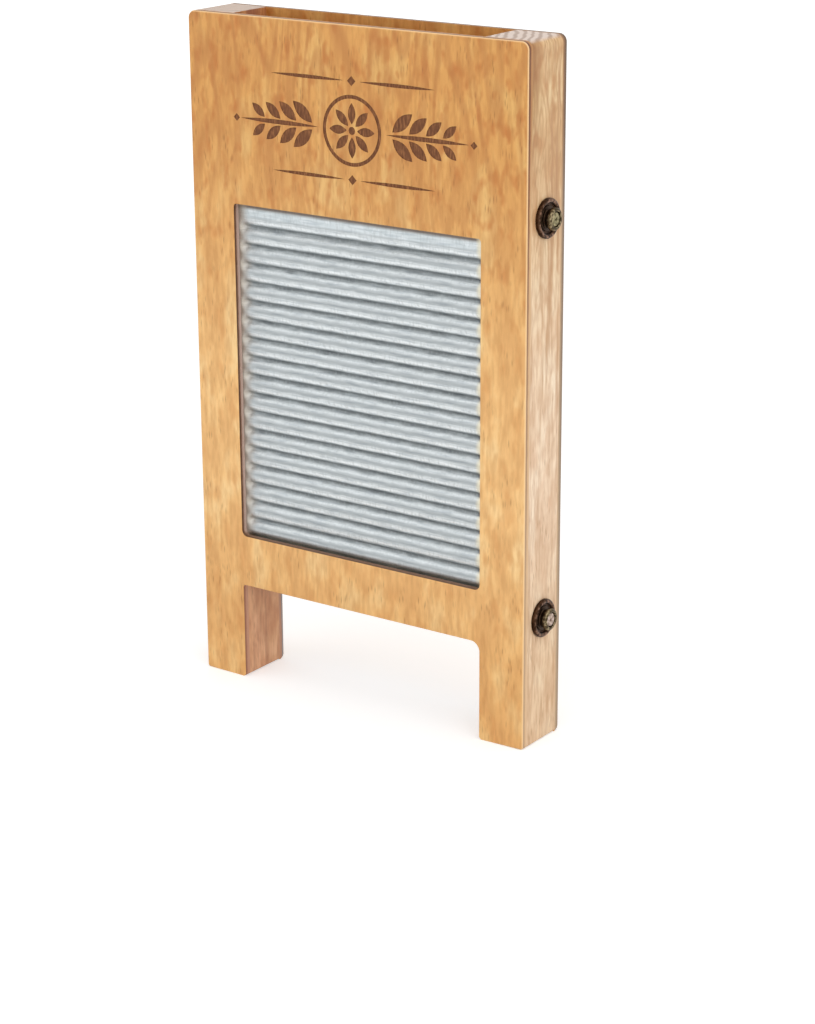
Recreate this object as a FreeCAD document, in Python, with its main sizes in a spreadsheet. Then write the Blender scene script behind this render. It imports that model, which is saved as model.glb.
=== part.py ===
import FreeCAD, Part
import math
import os

import Sketcher
from FreeCAD import Placement, Rotation, Vector

# A small box-form washboard, in millimetres. Two square posts carry a thin front panel and a thin
# back panel. A ribbed steel sheet shows through the window of the front panel, and each post has
# two press-studs for a strap. Origin: the middle of the base. +X is the player's right, -Y is the
# front and +Z is up.

document = FreeCAD.newDocument("washboard")

# Driving sizes

DRIVING_SIZES = [
    ("board_height", 270, "height over everything"),
    ("board_width", 155, "width over the side faces"),
    ("panel_thickness", 3, "plywood of the front and back panels"),
    ("post_width", 20, "post, across the board"),
    ("post_depth", 20, "post, front to back"),
    ("corner_radius", 3, "outer top corners of posts and panels"),
    ("foot_radius", 1.2, "corners at the bottom of the legs"),
    ("edge_round", 0.8, "sanded round-over of the panels' outer edges"),
    ("window_ease", 0.4, "eased front edge of the window"),
    ("heel_round", 2, "rounding of the legs' lower back edge"),
    ("arch_height", 40, "floor to the underside of the apron"),
    ("window_bottom", 61, "floor to the window"),
    ("window_height", 136, "height of the window"),
    ("tight_radius", 1.2, "upper corners of the window and left corner of the arch"),
    ("window_radius", 2.5, "lower corners of the window"),
    ("arch_radius", 4, "right corner of the arch"),
    ("sheet_thickness", 0.4, "galvanised steel"),
    ("sheet_lap", 5, "width of the sheet's edge that lies in each post's rebate"),
    ("sheet_overlap", 7, "how far the sheet reaches beyond the window, above and below"),
    ("sheet_drop", 5.25, "how far the ribs' middle lies below the window's middle"),
    ("rib_pitch", 7.5, "from one groove to the next"),
    ("rib_depth", 1.8, "from the crest to the bottom of a groove"),
    ("groove_radius", 1.1, "inside radius at the bottom of a groove"),
    ("rib_runout", 3, "length over which a rib dies out into the flat margin"),
    ("rebate_clearance", 0.05, "play of the sheet in its rebates"),
    ("upper_stud_level", 205, "floor to the axis of the upper press-studs"),
    ("lower_stud_level", 50.5, "floor to the axis of the lower press-studs"),
    ("base_diameter", 15, "press-stud base, over its rim"),
    ("base_plate", 0.5, "thickness of the base's floor"),
    ("rim_height", 1.7, "rolled rim of the base, from the post's face"),
    ("rim_width", 1.8, "rolled rim of the base, across the roll"),
    ("rim_break", 0.55, "sloping flats that stand for the roll's roundness"),
    ("flange_diameter", 9.6, "foot of the stud, inside the base"),
    ("flange_thickness", 0.5, "foot of the stud"),
    ("neck_diameter", 6.8, "waist of the stud"),
    ("neck_length", 1.1, "waist of the stud, from its foot to the flare"),
    ("flare_length", 0.5, "cone between waist and head"),
    ("head_diameter", 8.5, "head of the stud"),
    ("head_land", 1.2, "straight stretch of the head"),
    ("head_dome", 0.7, "rounded end of the head"),
    ("stud_bore", 5.8, "recess in the stud for the screw's head"),
    ("seat_thickness", 2.3, "floor of that recess"),
    ("screw_diameter", 2.2, "shank of the wood screw"),
    ("screw_length", 14, "screw under its head"),
    ("screw_tip", 2.5, "length of the screw's point"),
    ("screw_head_diameter", 5.4, "pan head"),
    ("screw_head_height", 1.4, "pan head"),
    ("screw_head_break", 0.6, "sloping flat round the pan head"),
    ("hole_clearance", 0.05, "radial play of the screw in its holes"),
    ("pilot_spare", 1, "depth of the pilot hole beyond the screw's point"),
]

DERIVED_SIZES = [
    ("inner_half", "board_width / 2 - post_width", "middle to the posts' inner faces"),
    ("window_top", "window_bottom + window_height", "floor to the window's upper edge"),
    ("rib_count", "floor(window_height / rib_pitch)", "whole ribs that the window shows"),
    ("rib_field", "rib_count * rib_pitch", "height of the ribbed field"),
    ("field_bottom", "window_bottom + window_height / 2 - sheet_drop - rib_field / 2",
     "floor to the first crest"),
    ("sheet_low", "window_bottom - sheet_overlap", "floor to the sheet's lower edge"),
    ("sheet_high", "window_top + sheet_overlap", "floor to the sheet's upper edge"),
    ("ribs_half", "inner_half - rebate_clearance", "half the length of the ribs"),
    ("crest_radius", "(rib_depth ^ 2 + rib_pitch ^ 2 / 4) / (2 * rib_depth) - groove_radius",
     "crest radius that meets the groove radius in line"),
    ("arc_centres", "crest_radius + groove_radius - rib_depth",
     "front to back, from the groove's centre to the crest's"),
    ("bend_level", "crest_radius * rib_pitch / 2 / (crest_radius + groove_radius)",
     "height, above a crest's middle, where the bend changes sides"),
    ("screw_hole", "screw_diameter / 2 + hole_clearance", "radius of the screw's holes"),
    ("flange_top", "base_plate + flange_thickness", "from the post's face"),
    ("neck_top", "flange_top + neck_length", "from the post's face"),
    ("head_start", "neck_top + flare_length", "from the post's face"),
    ("stud_top", "head_start + head_land + head_dome", "from the post's face"),
    ("screw_seat", "base_plate + seat_thickness", "from the post's face"),
    ("pilot_depth", "screw_length - screw_seat + pilot_spare", "from the post's face"),
]

sizes = document.addObject("Spreadsheet::Sheet", "Sizes")
for row, (alias, value, note) in enumerate(DRIVING_SIZES + DERIVED_SIZES, start=1):
    sizes.set(f"A{row}", alias)
    sizes.set(f"B{row}", str(value) if not isinstance(value, str) else "=" + value)
    sizes.set(f"C{row}", note)
    sizes.setAlias(f"B{row}", alias)
document.recompute()


def size(alias):
    """Return the present value of a cell."""
    return float(sizes.get(alias))


# Ways to build a body, used by every piece

ORIGIN = (-1, 1)
HORIZONTAL_AXIS = -1
START, END, CENTRE = range(1, 4)
SAME_PLACE = 0.01
bodies = []


def new_body(name):
    """Start a piece: a body whose label is the name of its node."""
    body = document.addObject("PartDesign::Body", name)
    body.Label = name
    bodies.append(body)
    return body


def new_sketch(body, name, plane, offset=None):
    """Put a sketch on one of the body's own planes, moved along the plane's normal."""
    sketch = body.newObject("Sketcher::SketchObject", f"{body.Name}_{name}")
    support = next(item for item in body.Origin.OriginFeatures if item.Role == plane)
    sketch.AttachmentSupport = [(support, "")]
    sketch.MapMode = "FlatFace"
    if offset:
        sketch.setExpression("AttachmentOffset.Base.z", offset)
    return sketch


def hold(sketch, kind, *places, by):
    """Add a distance, radius or diameter to a sketch, held by an expression."""
    index = sketch.addConstraint(Sketcher.Constraint(kind, *places, sizes.evalExpression(by)))
    sketch.setExpression(f"Constraints[{index}]", by)


def add_outline(sketch, corners):
    """Draw a closed outline through corners that are each given by two expressions."""
    points = [Vector(*(sizes.evalExpression(by) for by in corner), 0) for corner in corners]
    first = sketch.GeometryCount
    count = len(points)
    for number in range(count):
        edge = Part.LineSegment(points[number], points[(number + 1) % count])
        sketch.addGeometry(edge, False)
    for number in range(count):
        after = first + (number + 1) % count
        sketch.addConstraint(Sketcher.Constraint("Coincident", first + number, END, after, START))
    for number, (across, up) in enumerate(corners):
        hold(sketch, "DistanceX", *ORIGIN, first + number, START, by=across)
        hold(sketch, "DistanceY", *ORIGIN, first + number, START, by=up)


def add_rectangle(sketch, left, right, low, high):
    """Draw a rectangle between four levels that are given by expressions."""
    add_outline(sketch, [(left, low), (right, low), (right, high), (left, high)])


def add_circle(sketch, across, up, radius):
    """Draw a circle whose centre and radius are given by expressions."""
    centre = Vector(sizes.evalExpression(across), sizes.evalExpression(up), 0)
    circle = Part.Circle(centre, Vector(0, 0, 1), sizes.evalExpression(radius))
    index = sketch.addGeometry(circle, False)
    hold(sketch, "DistanceX", *ORIGIN, index, CENTRE, by=across)
    hold(sketch, "DistanceY", *ORIGIN, index, CENTRE, by=up)
    hold(sketch, "Radius", index, by=radius)


def add_feature(body, kind, name, sketch, **settings):
    """Add a feature of this kind that works on a sketch."""
    feature = body.newObject(f"PartDesign::{kind}", f"{body.Name}_{name}")
    feature.Profile = sketch
    sketch.Visibility = False
    for key, value in settings.items():
        setattr(feature, key, value)
    return feature


def pad(body, name, sketch, by, **settings):
    """Extrude a sketch by an expression."""
    feature = add_feature(body, "Pad", name, sketch, **settings)
    feature.setExpression("Length", by)
    document.recompute()
    return feature


def cut_through(body, name, sketch):
    """Cut a sketch's outline through the whole body, both ways."""
    add_feature(body, "Pocket", name, sketch, Type="ThroughAll", SideType="Symmetric")
    document.recompute()


def cut_to_depth(body, name, sketch, by, **settings):
    """Cut a sketch's outline into the body as deep as an expression says."""
    feature = add_feature(body, "Pocket", name, sketch, **settings)
    feature.setExpression("Length", by)
    document.recompute()


def round_edges(body, name, by, chosen):
    """Round the edges whose two ends and middle all pass a test, with a radius by expression."""
    base = body.Tip
    names = []
    for number, edge in enumerate(base.Shape.Edges, start=1):
        middle = edge.valueAt((edge.FirstParameter + edge.LastParameter) / 2)
        points = [vertex.Point for vertex in edge.Vertexes] + [middle]
        if all(chosen(point) for point in points):
            names.append(f"Edge{number}")
    if not names:
        raise RuntimeError(f"{body.Label}: no edge found for {name}")
    feature = body.newObject("PartDesign::Fillet", f"{body.Name}_{name}")
    feature.Base = (base, names)
    feature.setExpression("Radius", by)
    document.recompute()


def near(value, target):
    """Say whether two lengths are the same."""
    return abs(value - target) < SAME_PLACE


# Front and back panels
# Plywood cut by laser, glued to the faces of the posts. Both have the arch between the legs, and
# only the front one has the window. Their outer edges are sanded round after the glueing.


def make_panel(name, outward):
    """Make a panel. outward is -1 for the front one and 1 for the back one."""
    is_front = outward < 0
    body = new_body(name)
    half = size("board_width") / 2
    top = size("board_height")
    inner_half = size("inner_half")
    outline = new_sketch(body, "outline", "XZ_Plane")
    add_rectangle(outline, "-Sizes.board_width / 2", "Sizes.board_width / 2", "0",
                  "Sizes.board_height")
    pad(body, "board", outline, "Sizes.panel_thickness", Reversed=outward > 0)

    arch = new_sketch(body, "arch", "XZ_Plane")
    add_rectangle(arch, "-Sizes.inner_half", "Sizes.inner_half", "-Sizes.foot_radius",
                  "Sizes.arch_height")
    cut_through(body, "arch_cut", arch)
    if is_front:
        window = new_sketch(body, "window", "XZ_Plane")
        add_rectangle(window, "-Sizes.inner_half", "Sizes.inner_half", "Sizes.window_bottom",
                      "Sizes.window_top")
        cut_through(body, "window_cut", window)

    def at_tight_corner(point):
        left_of_arch = near(point.x, -inner_half) and near(point.z, size("arch_height"))
        over_window = near(abs(point.x), inner_half) and near(point.z, size("window_top"))
        return left_of_arch or over_window

    def at_arch_corner(point):
        return near(point.x, inner_half) and near(point.z, size("arch_height"))

    def at_window_corner(point):
        return near(abs(point.x), inner_half) and near(point.z, size("window_bottom"))

    def on_face(point):
        return near(point.y, outward * size("panel_thickness"))

    def at_outline(point):
        return on_face(point) and (near(abs(point.x), half)
                                   or point.z > top - size("corner_radius") - SAME_PLACE)

    def at_window(point):
        low = size("window_bottom") - SAME_PLACE
        high = size("window_top") + SAME_PLACE
        inside = abs(point.x) < inner_half + SAME_PLACE
        return on_face(point) and inside and low < point.z < high

    def at_foot_corner(point):
        at_side = near(abs(point.x), half) or near(abs(point.x), inner_half)
        return near(point.z, 0) and at_side

    round_edges(body, "tight_corners", "Sizes.tight_radius", at_tight_corner)
    round_edges(body, "arch_corner", "Sizes.arch_radius", at_arch_corner)
    round_edges(body, "top_corners", "Sizes.corner_radius",
                lambda point: near(abs(point.x), half) and near(point.z, top))
    if is_front:
        round_edges(body, "window_corners", "Sizes.window_radius", at_window_corner)
        round_edges(body, "foot_corners", "Sizes.foot_radius", at_foot_corner)
        round_edges(body, "window_front", "Sizes.window_ease", at_window)
    else:
        round_edges(body, "heels", "Sizes.heel_round",
                    lambda point: on_face(point) and near(point.z, 0))
    round_edges(body, "outline_edges", "Sizes.edge_round", at_outline)
    body.setExpression("Placement.Base.y", f"{outward} * Sizes.post_depth / 2")
    return body


make_panel("front_panel", -1)
make_panel("back_panel", 1)

# Posts
# Solid square battens, from the floor to the top. A shallow rebate at the front takes the edge of
# the sheet, and two pilot holes at the outer side take the screws of the press-studs.


def make_post(name, outward):
    """Make a post. outward is -1 for the left one and 1 for the right one."""
    body = new_body(name)
    half = size("post_width") / 2
    top = size("board_height")
    section = new_sketch(body, "section", "XY_Plane")
    add_rectangle(section, "-Sizes.post_width / 2", "Sizes.post_width / 2",
                  "-Sizes.post_depth / 2", "Sizes.post_depth / 2")
    pad(body, "batten", section, "Sizes.board_height")
    round_edges(body, "top_corner", "Sizes.corner_radius",
                lambda point: near(point.x, outward * half) and near(point.z, top))
    round_edges(body, "foot_corners", "Sizes.foot_radius",
                lambda point: near(abs(point.x), half) and near(point.z, 0))

    rebate = new_sketch(body, "rebate", "XZ_Plane", "Sizes.post_depth / 2")
    side = str(-outward)
    inner = f"{side} * Sizes.post_width / 2"
    lapped = f"{side} * (Sizes.post_width / 2 - Sizes.sheet_lap - Sizes.rebate_clearance)"
    low = "Sizes.sheet_low - Sizes.rebate_clearance"
    high = "Sizes.sheet_high + Sizes.rebate_clearance"
    add_rectangle(rebate, inner, lapped, low, high)
    cut_to_depth(body, "rebate_cut", rebate, "Sizes.sheet_thickness + Sizes.rebate_clearance")

    pilots = new_sketch(body, "pilots", "YZ_Plane", f"{outward} * Sizes.post_width / 2")
    for level in ("upper_stud_level", "lower_stud_level"):
        add_circle(pilots, "0", f"Sizes.{level}", "Sizes.screw_hole")
    cut_to_depth(body, "pilot_holes", pilots, "Sizes.pilot_depth", Reversed=outward < 0)
    body.setExpression("Placement.Base.x",
                       f"{outward} * (Sizes.board_width / 2 - Sizes.post_width / 2)")
    return body


make_post("left_post", -1)
make_post("right_post", 1)

# Ribbed sheet
# Galvanised steel with grooves pressed backwards, so that broad round crests stand between narrow
# grooves. It lies against the back of the front panel. One pitch of it, from crest to crest, is a
# ruled loft through four sections: flat at the posts, full depth after the run-out. The pitch is
# then repeated up the window, and a flat margin runs round the ribbed field.


def draw_rib(sketch):
    """Draw one pitch of the sheet's section: three arcs on each side, in line where they meet."""
    thick = size("sheet_thickness")
    depth = size("rib_depth")
    pitch = size("rib_pitch")
    crest = size("crest_radius")
    lower = Vector(crest, 0, 0)
    upper = Vector(crest, pitch, 0)
    groove = Vector(depth - size("groove_radius"), pitch / 2, 0)
    slope = math.atan2(pitch / 2, size("arc_centres"))

    def add_arc(centre, radius, start, end):
        circle = Part.Circle(centre, Vector(0, 0, 1), radius)
        return sketch.addGeometry(Part.ArcOfCircle(circle, start, end), False)

    def add_face(shift):
        low_arc = add_arc(lower, crest - shift, math.pi - slope, math.pi)
        groove_arc = add_arc(groove, size("groove_radius") + shift, -slope, slope)
        high_arc = add_arc(upper, crest - shift, math.pi, math.pi + slope)
        sketch.addConstraint(Sketcher.Constraint("Tangent", low_arc, START, groove_arc, START))
        sketch.addConstraint(Sketcher.Constraint("Tangent", groove_arc, END, high_arc, END))
        return low_arc, groove_arc, high_arc

    front = add_face(0)
    back = add_face(thick)
    ends = []
    for level, number, where in ((0, 0, END), (pitch, 2, START)):
        edge = Part.LineSegment(Vector(0, level, 0), Vector(thick, level, 0))
        line = sketch.addGeometry(edge, False)
        sketch.addConstraint(Sketcher.Constraint("Coincident", line, START, front[number], where))
        sketch.addConstraint(Sketcher.Constraint("Coincident", line, END, back[number], where))
        sketch.addConstraint(Sketcher.Constraint("Horizontal", line))
        ends.append(line)
    for face, other in zip(front, back):
        sketch.addConstraint(Sketcher.Constraint("Coincident", face, CENTRE, other, CENTRE))
    sketch.addConstraint(Sketcher.Constraint("Coincident", ends[0], START, *ORIGIN))
    sketch.addConstraint(Sketcher.Constraint("PointOnObject", front[0], CENTRE, HORIZONTAL_AXIS))
    sketch.addConstraint(Sketcher.Constraint("Vertical", front[0], CENTRE, front[2], CENTRE))
    sketch.addConstraint(Sketcher.Constraint("Horizontal", front[2], CENTRE, ends[1], START))
    hold(sketch, "DistanceX", ends[0], START, ends[0], END, by="Sizes.sheet_thickness")
    hold(sketch, "DistanceX", *ORIGIN, front[0], CENTRE, by="Sizes.crest_radius")
    hold(sketch, "DistanceY", *ORIGIN, front[2], CENTRE, by="Sizes.rib_pitch")
    hold(sketch, "DistanceX", front[1], CENTRE, front[0], CENTRE, by="Sizes.arc_centres")
    hold(sketch, "DistanceY", *ORIGIN, front[1], CENTRE, by="Sizes.rib_pitch / 2")


def draw_flat(sketch):
    """Draw one pitch of the flat sheet, with a corner for each corner of the rib's section."""
    levels = ["0", "Sizes.bend_level", "Sizes.rib_pitch - Sizes.bend_level", "Sizes.rib_pitch"]
    front = [("0", level) for level in levels]
    back = [("Sizes.sheet_thickness", level) for level in reversed(levels)]
    add_outline(sketch, front + back)


def make_sheet():
    """Make the ribbed sheet."""
    body = new_body("ribbed_sheet")
    margin = new_sketch(body, "margin", "XZ_Plane")
    reach = "Sizes.inner_half + Sizes.sheet_lap"
    add_rectangle(margin, f"-({reach})", reach, "Sizes.sheet_low - Sizes.field_bottom",
                  "Sizes.sheet_high - Sizes.field_bottom")
    add_rectangle(margin, "-Sizes.ribs_half", "Sizes.ribs_half", "0", "Sizes.rib_field")
    pad(body, "flat_margin", margin, "Sizes.sheet_thickness", Reversed=True)

    sections = []
    for name, offset, draw in (
        ("left_end", "-Sizes.ribs_half", draw_flat),
        ("left_full", "-(Sizes.ribs_half - Sizes.rib_runout)", draw_rib),
        ("right_full", "Sizes.ribs_half - Sizes.rib_runout", draw_rib),
        ("right_end", "Sizes.ribs_half", draw_flat),
    ):
        section = new_sketch(body, name, "YZ_Plane", offset)
        draw(section)
        sections.append(section)
    document.recompute()
    rib = add_feature(body, "AdditiveLoft", "rib", sections[0], Ruled=True)
    rib.Sections = [(section, [""]) for section in sections[1:]]
    document.recompute()

    repeat = body.newObject("PartDesign::LinearPattern", "ribbed_sheet_repeat")
    repeat.Originals = [rib]
    repeat.Direction = (margin, ["V_Axis"])
    repeat.Mode = "Spacing"
    repeat.setExpression("Offset", "Sizes.rib_pitch")
    repeat.setExpression("Occurrences", "Sizes.rib_count")
    body.Tip = repeat
    body.setExpression("Placement.Base.y", "-Sizes.post_depth / 2")
    body.setExpression("Placement.Base.z", "Sizes.field_bottom")
    document.recompute()
    return body


make_sheet()

# Press-studs
# Antique brass, turned shapes on an axis that points out of the post's side. A dished base with a
# rolled rim lies on the wood, the stud stands on its floor, and a wood screw through both, with
# its head down in the stud's recess, holds them to the post.


def revolve(body, name, corners):
    """Turn a closed outline, given as radius and height, into a round piece."""
    sketch = new_sketch(body, f"{name}_outline", "XZ_Plane")
    add_outline(sketch, corners)
    feature = add_feature(body, "Revolution", name, sketch)
    feature.ReferenceAxis = (sketch, ["V_Axis"])
    document.recompute()
    return feature


def place_on_post(body, outward, level):
    """Turn a round piece's axis out of a post's side face, and set it there."""
    body.Placement = Placement(Vector(), Rotation(Vector(0, 1, 0), outward * 90))
    body.setExpression("Placement.Base.x", f"{outward} * Sizes.board_width / 2")
    body.setExpression("Placement.Base.z", f"Sizes.{level}")


def make_stud_base(name, outward, level):
    """Make the dished base with its rolled rim."""
    body = new_body(name)
    rim = "Sizes.base_diameter / 2"
    dish = "Sizes.base_diameter / 2 - Sizes.rim_width"
    revolve(body, "dish", [
        ("Sizes.screw_hole", "0"),
        (rim, "0"),
        (rim, "Sizes.rim_height - Sizes.rim_break"),
        (f"{rim} - Sizes.rim_break", "Sizes.rim_height"),
        (f"{dish} + Sizes.rim_break", "Sizes.rim_height"),
        (dish, "Sizes.rim_height - Sizes.rim_break"),
        (dish, "Sizes.base_plate"),
        ("Sizes.screw_hole", "Sizes.base_plate"),
    ])
    place_on_post(body, outward, level)


def make_stud(name, outward, level):
    """Make the stud: foot, waist, flared head with a straight land, and the screw's recess."""
    body = new_body(name)
    foot = "Sizes.flange_diameter / 2"
    neck = "Sizes.neck_diameter / 2"
    head = "Sizes.head_diameter / 2"
    bore = "Sizes.stud_bore / 2"
    revolve(body, "shell", [
        ("Sizes.screw_hole", "Sizes.base_plate"),
        (foot, "Sizes.base_plate"),
        (foot, "Sizes.flange_top"),
        (neck, "Sizes.flange_top"),
        (neck, "Sizes.neck_top"),
        (head, "Sizes.head_start"),
        (head, "Sizes.stud_top"),
        (bore, "Sizes.stud_top"),
        (bore, "Sizes.screw_seat"),
        ("Sizes.screw_hole", "Sizes.screw_seat"),
    ])
    head_radius = size("head_diameter") / 2
    round_edges(body, "dome", "Sizes.head_dome",
                lambda point: near(math.hypot(point.x, point.y), head_radius)
                and near(point.z, size("stud_top")))
    place_on_post(body, outward, level)


def make_screw(name, outward, level):
    """Make the wood screw: pan head, plain shank and point."""
    body = new_body(name)
    shank = "Sizes.screw_diameter / 2"
    head = "Sizes.screw_head_diameter / 2"
    point = "Sizes.screw_seat - Sizes.screw_length"
    crown = "Sizes.screw_seat + Sizes.screw_head_height"
    revolve(body, "blank", [
        ("0", point),
        (shank, f"{point} + Sizes.screw_tip"),
        (shank, "Sizes.screw_seat"),
        (head, "Sizes.screw_seat"),
        (head, f"{crown} - Sizes.screw_head_break"),
        (f"{head} - Sizes.screw_head_break", crown),
        ("0", crown),
    ])
    place_on_post(body, outward, level)


for side, outward in (("left", -1), ("right", 1)):
    for place in ("upper", "lower"):
        level = f"{place}_stud_level"
        make_stud_base(f"stud_base_{place}_{side}", outward, level)
        make_stud(f"stud_{place}_{side}", outward, level)
        make_screw(f"stud_screw_{place}_{side}", outward, level)

# Checks and files

document.recompute()
for item in document.Objects:
    if "Invalid" in item.State or "Error" in item.State:
        raise RuntimeError(f"{item.Label}: {item.State}")
for body in bodies:
    if body.Shape.isNull() or not body.Shape.isValid() or len(body.Shape.Solids) != 1:
        raise RuntimeError(f"{body.Label}: not one valid solid")
    before = 0
    for feature in body.Group:
        if not hasattr(feature, "BaseFeature"):
            continue
        volume = feature.Shape.Volume
        if abs(volume - before) < 0.001:
            raise RuntimeError(f"{feature.Label}: changes nothing")
        if "Pocket" in feature.TypeId and volume > before:
            raise RuntimeError(f"{feature.Label}: adds instead of cutting")
        before = volume

os.makedirs("parts", exist_ok=True)
for body in bodies:
    body.Shape.exportStep(os.path.join("parts", f"{body.Label}.step"))
    print(body.Label, round(body.Shape.Volume, 1), "mm3")
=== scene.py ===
import math

import bmesh
import bpy
from mathutils import Matrix, Vector, noise


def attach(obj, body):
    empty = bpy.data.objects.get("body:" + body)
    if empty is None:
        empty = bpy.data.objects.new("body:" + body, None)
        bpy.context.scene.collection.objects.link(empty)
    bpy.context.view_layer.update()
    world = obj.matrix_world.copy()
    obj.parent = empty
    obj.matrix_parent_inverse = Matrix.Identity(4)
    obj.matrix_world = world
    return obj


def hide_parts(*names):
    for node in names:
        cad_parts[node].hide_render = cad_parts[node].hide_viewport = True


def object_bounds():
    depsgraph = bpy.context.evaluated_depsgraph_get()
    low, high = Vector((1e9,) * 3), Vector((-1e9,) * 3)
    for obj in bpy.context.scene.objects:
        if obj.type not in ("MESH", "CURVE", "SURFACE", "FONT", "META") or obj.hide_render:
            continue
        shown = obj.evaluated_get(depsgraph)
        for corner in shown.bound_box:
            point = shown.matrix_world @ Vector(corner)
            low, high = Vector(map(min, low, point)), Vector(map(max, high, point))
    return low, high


# A small box-form washboard for playing rhythm: two square posts, a plywood panel on the front and
# one on the back, a ribbed galvanised sheet in the front window, and two press-studs on each side.
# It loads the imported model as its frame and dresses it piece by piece.

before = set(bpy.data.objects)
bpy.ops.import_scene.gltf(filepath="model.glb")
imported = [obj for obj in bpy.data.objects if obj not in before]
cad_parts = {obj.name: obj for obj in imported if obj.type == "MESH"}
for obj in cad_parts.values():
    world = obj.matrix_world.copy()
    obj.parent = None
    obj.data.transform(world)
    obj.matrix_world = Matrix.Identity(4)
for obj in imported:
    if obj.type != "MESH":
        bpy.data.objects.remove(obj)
cad_low, cad_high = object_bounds()
scene = bpy.context.scene

# Camera
# It stands to the right of the board, at a metre, and looks down on it. Its place, turn and lens
# were fitted to the board's edges in the photograph.

MM = 0.001
LENS = 92.64
CAMERA_PLACE = Vector((578.3, -796.2, 405)) * MM
CAMERA_TURN = math.radians(35.27)
CAMERA_DIP = math.radians(18.37)
CAMERA_ROLL = math.radians(-0.31)

camera_data = bpy.data.cameras.new("camera")
camera_data.lens = LENS
camera = bpy.data.objects.new("camera", camera_data)
camera.matrix_world = (
    Matrix.Translation(CAMERA_PLACE)
    @ Matrix.Rotation(CAMERA_TURN, 4, "Z")
    @ Matrix.Rotation(math.pi / 2 - CAMERA_DIP, 4, "X")
    @ Matrix.Rotation(CAMERA_ROLL, 4, "Z")
)
scene.collection.objects.link(camera)
scene.camera = camera

# Studio
# A white floor without an end, a wide soft lamp on each side and one above. What the camera and the
# metal see beyond the object is plain white, and the floor keeps the object's faint shadow.

FLOOR_SIZE = 12
FLOOR_GLOW = {"near": 0.34, "far": 0.7}
WORLD_LIGHT = 0.66
LAMPS = {
    "key_lamp": {"place": (1.5, -0.9, 1.1), "width": 2.8, "watts": 21},
    "fill_lamp": {"place": (-1.2, -1.5, 1.1), "width": 2.4, "watts": 10},
    "top_lamp": {"place": (0.1, 0.2, 2), "width": 2.4, "watts": 5},
}


def linear(code):
    """Turn an sRGB hex colour into the linear colour that a shader takes."""
    parts = [int(code[place : place + 2], 16) / 255 for place in (1, 3, 5)]
    return [p / 12.92 if p <= 0.04045 else ((p + 0.055) / 1.055) ** 2.4 for p in parts] + [1]


def add_node(owner, kind, inputs=None, stops=(), **settings):
    """Add a shader node with its settings. Inputs take values, sockets, or nodes' first outputs."""
    tree = owner.node_tree
    node = tree.nodes.new("ShaderNode" + kind)
    for key, value in settings.items():
        setattr(node, key, value)
    for number, (place, code) in enumerate(stops):
        elements = node.color_ramp.elements
        stop = elements[number] if number < 2 else elements.new(place)
        stop.position = place
        stop.color = linear(code)
    for key, value in (inputs or {}).items():
        if isinstance(value, bpy.types.Node):
            value = value.outputs[0]
        if isinstance(value, bpy.types.NodeSocket):
            tree.links.new(value, node.inputs[key])
        else:
            node.inputs[key].default_value = value
    return node


def seen_directly(owner):
    """Give a node that is 1 for rays from the camera, a mirror or glass, and 0 for light."""
    path = add_node(owner, "LightPath")
    camera_or_metal = add_node(
        owner,
        "Math",
        {0: path.outputs["Is Camera Ray"], 1: path.outputs["Is Glossy Ray"]},
        operation="MAXIMUM",
    )
    return add_node(
        owner,
        "Math",
        {0: camera_or_metal, 1: path.outputs["Is Transmission Ray"]},
        operation="MAXIMUM",
    )


world = bpy.data.worlds.new("studio")
world.use_nodes = True
world.node_tree.nodes.clear()
lit = add_node(world, "Background", {"Color": linear("#FCFCFC"), "Strength": WORLD_LIGHT})
white = add_node(world, "Background", {"Color": linear("#FFFFFF"), "Strength": 1})
sky = add_node(world, "MixShader", {0: seen_directly(world), 1: lit, 2: white})
add_node(world, "OutputWorld", {"Surface": sky})
scene.world = world
scene.view_settings.view_transform = "Standard"

# Matt white paint: it scatters light evenly, and what the camera sees of it also glows a little.
floor_paint = bpy.data.materials.new("matt_white_floor_paint")
floor_paint.use_nodes = True
floor_paint.node_tree.nodes.clear()
paint = add_node(floor_paint, "BsdfDiffuse", {"Color": linear("#EFEFEF")})
floor_place = add_node(floor_paint, "TexCoord").outputs["Object"]
distance = add_node(floor_paint, "VectorMath", {0: floor_place}, operation="LENGTH")
glow_there = add_node(
    floor_paint,
    "MapRange",
    {
        "Value": distance.outputs["Value"],
        "From Min": 0.5,
        "From Max": 3,
        "To Min": FLOOR_GLOW["near"],
        "To Max": FLOOR_GLOW["far"],
    },
)
glow_amount = add_node(
    floor_paint, "Math", {0: seen_directly(floor_paint), 1: glow_there}, operation="MULTIPLY"
)
glow = add_node(floor_paint, "Emission", {"Strength": glow_amount})
painted = add_node(floor_paint, "AddShader", {0: paint, 1: glow})
add_node(floor_paint, "OutputMaterial", {"Surface": painted})

floor_shape = bmesh.new()
bmesh.ops.create_grid(floor_shape, x_segments=1, y_segments=1, size=FLOOR_SIZE / 2)
floor_mesh = bpy.data.meshes.new("floor")
floor_shape.to_mesh(floor_mesh)
floor_shape.free()
floor_mesh.materials.append(floor_paint)
floor = bpy.data.objects.new("floor", floor_mesh)
scene.collection.objects.link(floor)

middle = Vector((0, 0, cad_high.z / 2))
for lamp_name, lamp in LAMPS.items():
    lamp_data = bpy.data.lights.new(lamp_name, "AREA")
    lamp_data.energy = lamp["watts"]
    lamp_data.size = lamp["width"]
    lamp_object = bpy.data.objects.new(lamp_name, lamp_data)
    lamp_object.location = lamp["place"]
    lamp_object.rotation_euler = (middle - Vector(lamp["place"])).to_track_quat("-Z", "Y").to_euler()
    scene.collection.objects.link(lamp_object)

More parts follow.
